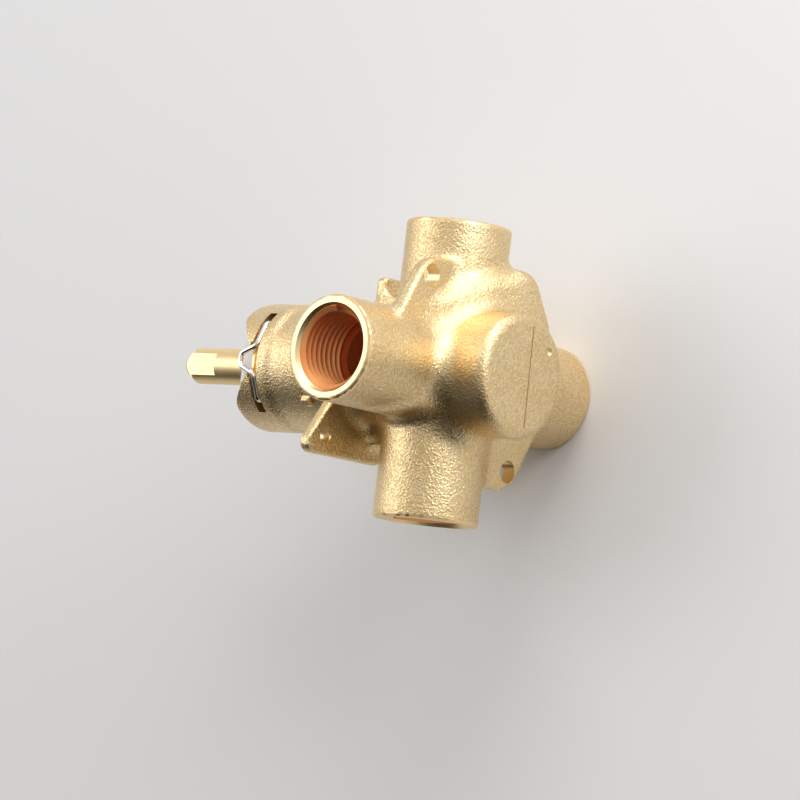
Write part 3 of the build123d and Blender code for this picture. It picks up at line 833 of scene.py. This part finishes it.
@dataclass
class Thread:
    """An inside thread as a helical ridge on a bore's wall. Millimetres."""

    name: str
    body: Body
    finish: Finish
    mouth: tuple[float, float, float]
    way: tuple[float, float, float]
    bore_r: float
    pitch: float
    turns: float
    ridge: float
    steps: int = 96

    @staticmethod
    def tree() -> bpy.types.NodeTree:
        """Build the tree that sweeps a ridge along a helix.

        Returns:
            A geometry tree with named inputs for the thread's sizes.
        """
        tree = new_group("helical_thread", "GeometryNodeTree", (
            ("Geometry", "INPUT", "NodeSocketGeometry"),
            ("Bore Radius", "INPUT", "NodeSocketFloat"),
            ("Pitch", "INPUT", "NodeSocketFloat"),
            ("Turns", "INPUT", "NodeSocketFloat"),
            ("Ridge", "INPUT", "NodeSocketFloat"),
            ("Steps", "INPUT", "NodeSocketInt"),
            ("Mouth", "INPUT", "NodeSocketVector"),
            ("Turn", "INPUT", "NodeSocketRotation"),
            ("Finish", "INPUT", "NodeSocketMaterial"),
            ("Geometry", "OUTPUT", "NodeSocketGeometry"),
        ))
        sheet = NodeSheet(tree)
        ports = sheet.add("NodeGroupInput").outputs
        root = sheet.math("MULTIPLY", ports["Ridge"], 0.3)
        line_r = sheet.math("SUBTRACT", ports["Bore Radius"], root)
        height = sheet.math("MULTIPLY", ports["Pitch"], ports["Turns"])
        helix = sheet.add("GeometryNodeCurveSpiral", {
            "Resolution": ports["Steps"], "Rotations": ports["Turns"], "Height": height,
            "Start Radius": line_r, "End Radius": line_r,
        })
        upright = sheet.add("GeometryNodeSetCurveNormal", {"Curve": helix.outputs[0]}, mode="Z_UP")
        corner_r = sheet.math("MULTIPLY", ports["Ridge"], 2 / 3)
        profile = sheet.add("GeometryNodeCurvePrimitiveCircle", {"Resolution": 3, "Radius": corner_r})
        ridge = sheet.add("GeometryNodeCurveToMesh", {
            "Curve": upright.outputs[0], "Profile Curve": profile.outputs["Curve"], "Fill Caps": True,
        })
        placed = sheet.add("GeometryNodeTransform", {
            "Geometry": ridge.outputs[0], "Translation": ports["Mouth"], "Rotation": ports["Turn"],
        })
        real = sheet.add("GeometryNodeRealizeInstances", {"Geometry": placed.outputs[0]})
        dressed = sheet.add("GeometryNodeSetMaterial", {
            "Geometry": real.outputs[0], "Material": ports["Finish"],
        })
        sheet.add("NodeGroupOutput", {"Geometry": dressed.outputs[0]})
        return tree

    def build(self, tree: bpy.types.NodeTree, palette: Palette) -> bpy.types.Object:
        """Make the thread in its bore.

        Args:
            tree: The shared geometry tree.
            palette: The valve's materials.

        Returns:
            The finished piece.
        """
        piece = link_object(self.name, bpy.data.meshes.new(self.name))
        modifier = piece.modifiers.new("thread", "NODES")
        modifier.node_group = tree
        inward = -Vector(self.way)
        values = {
            "Bore Radius": self.bore_r * MM, "Pitch": self.pitch * MM, "Turns": self.turns,
            "Ridge": self.ridge * MM, "Steps": self.steps, "Mouth": Vector(self.mouth) * MM,
            "Finish": palette.get(self.finish),
            "Turn": inward.to_track_quat("Z", "Y").to_euler(),
        }
        for socket in tree.interface.items_tree:
            if socket.in_out == "INPUT" and socket.name in values:
                modifier[socket.identifier] = values[socket.name]
        mesh = applied(piece)
        smooth_by_angle(mesh, SHARP_DEG)
        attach(piece, self.body.value)
        return piece


@dataclass
class Threads:
    """Threads of the ports and the ears. Millimetres."""

    casting: Casting
    pipe_pitch: float = 1.814
    pipe_ridge: float = 1.25
    pipe_start: float = 1.3
    pipe_turns: float = 7.5
    screw_pitch: float = 0.7
    screw_ridge: float = 0.42
    ear_turns: float = 3.2
    ear_steps: int = 48

    def all(self) -> list[Thread]:
        """List every thread with its place and sizes.

        Returns:
            The threads, not yet built.
        """
        body = self.casting
        made = []
        for way in PortWay:
            reach = body.inlet_reach if way.is_inlet else body.outlet_reach
            mouth = way.vector * (reach - self.pipe_start) + Vector((0, body.port_y, 0))
            # Pipe threads carry the bores' deep orange painted shade.
            made.append(Thread(f"{way.name.lower()}_port_thread", Body.VALVE, BORE_SHADE_BRASS, tuple(mouth),
                               way.value, body.thread_r, self.pipe_pitch, self.pipe_turns, self.pipe_ridge))
        ear_x, ear_z = body.ear_hole
        start_y = body.ear_y - self.screw_pitch
        for name, way in (("upper", 1), ("lower", -1)):
            mouth = (way * ear_x, start_y, way * ear_z)
            made.append(Thread(f"{name}_ear_thread", Body.VALVE, CUT_BRASS, mouth,
                               (0.0, 1.0, 0.0), body.ear_hole_r, self.screw_pitch, self.ear_turns,
                               self.screw_ridge, self.ear_steps))
        return made


@dataclass(frozen=True)
class Lamp:
    """A square soft lamp. Its way from the valve is in the frame, or in the camera's right, up and back."""

    name: str
    way: tuple[float, float, float]
    distance: float
    size: float
    power: float
    by_camera: bool = False

    def hang(self, camera_turn: Matrix) -> None:
        """Hang the lamp so that it looks at the valve.

        Args:
            camera_turn: The camera's turn, whose columns are right, up and back.
        """
        data = bpy.data.lights.new(self.name, "AREA")
        data.shape = "SQUARE"
        data.size = self.size
        data.energy = self.power
        way = camera_turn @ Vector(self.way) if self.by_camera else Vector(self.way)
        lamp = bpy.data.objects.new(self.name, data)
        lamp.location = way.normalized() * self.distance
        lamp.rotation_euler = way.to_track_quat("Z", "Y").to_euler()
        bpy.context.scene.collection.objects.link(lamp)


@dataclass
class Studio:
    """Floor, world, lamps and camera. Metres and degrees."""

    floor_size: float = 8.0
    floor_gap: float = 0.2 * MM
    floor_colour: tuple[float, float, float] = (0.8, 0.8, 0.805)
    camera_place: tuple[float, float, float] = (0.133208, 0.869460, 1.007157)
    camera_turn_deg: tuple[float, float, float] = (11.2214, 40.5477, 98.9308)
    camera_lens: float = 236.82
    world_bright: tuple[float, float, float] = (1.0, 0.98, 0.96)
    world_dark: tuple[float, float, float] = (0.02, 0.015, 0.01)
    world_strength: float = 0.68
    world_fade: tuple[float, float] = (-0.1, 0.7)
    lamps: tuple[Lamp, ...] = (
        Lamp("key", (0.02, 0.95, 0.3), 0.9, 0.6, 4.5, by_camera=True),
        Lamp("side", (-0.2, -0.66, 0.75), 1.0, 0.6, 2.5),
        Lamp("back", (-0.6, 0.95, 0.28), 0.5, 0.2, 0.95),
    )

    def floor(self) -> None:
        """Lay the plain pale floor."""
        low_z = min(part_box(node)[0].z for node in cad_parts) - self.floor_gap
        half = self.floor_size / 2
        corners = [(-half, -half, low_z), (half, -half, low_z), (half, half, low_z), (-half, half, low_z)]
        mesh = bpy.data.meshes.new("floor")
        mesh.from_pydata(corners, [], [(0, 1, 2, 3)])
        floor = link_object("floor", mesh)
        material = bpy.data.materials.new("floor_paper")
        material.use_nodes = True
        sheet = NodeSheet(material.node_tree)
        shader = sheet.add("ShaderNodeBsdfPrincipled", {
            "Base Color": (*self.floor_colour, 1.0), "Roughness": 0.9,
        })
        sheet.add("ShaderNodeOutputMaterial", {"Surface": shader.outputs["BSDF"]})
        mesh.materials.append(material)

    def world(self) -> None:
        """Light the room softly, brighter on the hot side."""
        world = bpy.data.worlds.new("studio")
        bpy.context.scene.world = world
        world.use_nodes = True
        sheet = NodeSheet(world.node_tree)
        way = sheet.add("ShaderNodeTexCoord").outputs["Generated"]
        across = sheet.add("ShaderNodeSeparateXYZ", {0: way}).outputs["X"]
        low, high = self.world_fade
        share = sheet.add("ShaderNodeMapRange", {"Value": across, "From Min": low, "From Max": high},
                          interpolation_type="SMOOTHSTEP").outputs["Result"]
        colour = Finish.blended(sheet, share, self.world_bright, self.world_dark)
        glow = sheet.add("ShaderNodeBackground", {"Color": colour, "Strength": self.world_strength})
        sheet.add("ShaderNodeOutputWorld", {"Surface": glow.outputs[0]})

    def camera(self) -> Matrix:
        """Set the camera where the photograph was taken from.

        Returns:
            The camera's turn, whose columns are right, up and back.
        """
        data = bpy.data.cameras.new("camera")
        data.lens = self.camera_lens
        data.clip_end = 20.0
        camera = bpy.data.objects.new("camera", data)
        camera.location = self.camera_place
        camera.rotation_euler = [math.radians(turn) for turn in self.camera_turn_deg]
        bpy.context.scene.collection.objects.link(camera)
        bpy.context.scene.camera = camera
        return camera.rotation_euler.to_matrix()

    def build(self) -> None:
        """Set up the whole stage."""
        self.floor()
        self.world()
        camera_turn = self.camera()
        for lamp in self.lamps:
            lamp.hang(camera_turn)
        bpy.context.scene.view_settings.view_transform = "Standard"


def dress_nodes(palette: Palette) -> None:
    """Give every CAD node that still shows its finish."""
    for name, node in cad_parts.items():
        node.data.materials.clear()
        node.data.materials.append(palette.get(NODE_FINISHES.get(name, SEAL_RUBBER)))


def main() -> None:
    """Build the valve's pieces in order, then the stage."""
    logging.basicConfig(level=logging.INFO, format="%(name)s: %(message)s")
    palette = Palette()
    dress_nodes(palette)
    casting = Casting()
    body = casting.build(palette)
    log.info("%s: %d faces", body.name, len(body.data.polygons))
    tree = Thread.tree()
    for thread in Threads(casting).all():
        piece = thread.build(tree, palette)
        log.info("%s: %d faces", piece.name, len(piece.data.polygons))
    Studio().build()


if __name__ == "__main__":
    main()
